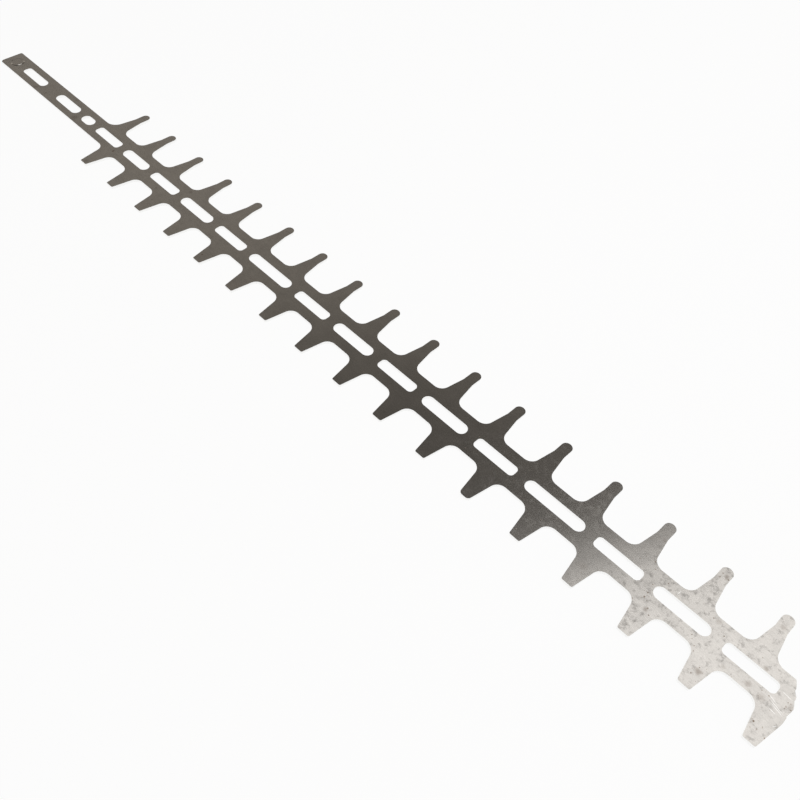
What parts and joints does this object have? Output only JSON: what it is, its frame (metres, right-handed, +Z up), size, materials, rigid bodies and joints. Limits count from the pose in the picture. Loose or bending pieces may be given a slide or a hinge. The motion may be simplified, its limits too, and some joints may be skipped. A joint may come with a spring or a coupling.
{
  "type": "hedge trimmer cutting blade",
  "caption": "Flat ground-steel reciprocating hedge trimmer blade with round-tipped teeth on one edge, square-tipped teeth on the other, a slotted spine and a ragged broken end.",
  "frame": {"origin": "underside of the blade, on the axis of the drive pin at the end of the tang", "axes": "+X along the blade from the drive end to the broken end, +Y to the side with the round-tipped teeth, +Z up out of the upper face"},
  "size_m": [0.7293, 0.0712, 0.0023],
  "materials": {
    "blade_steel": "ground, used, with dull darker patches, small pits and light scratches",
    "pin_steel": "riveted head, ground with the blade"
  },
  "bodies": {
    "root": {"cutting_blade": "blade_steel", "drive_pin": "pin_steel"}
  },
  "joints": []
}
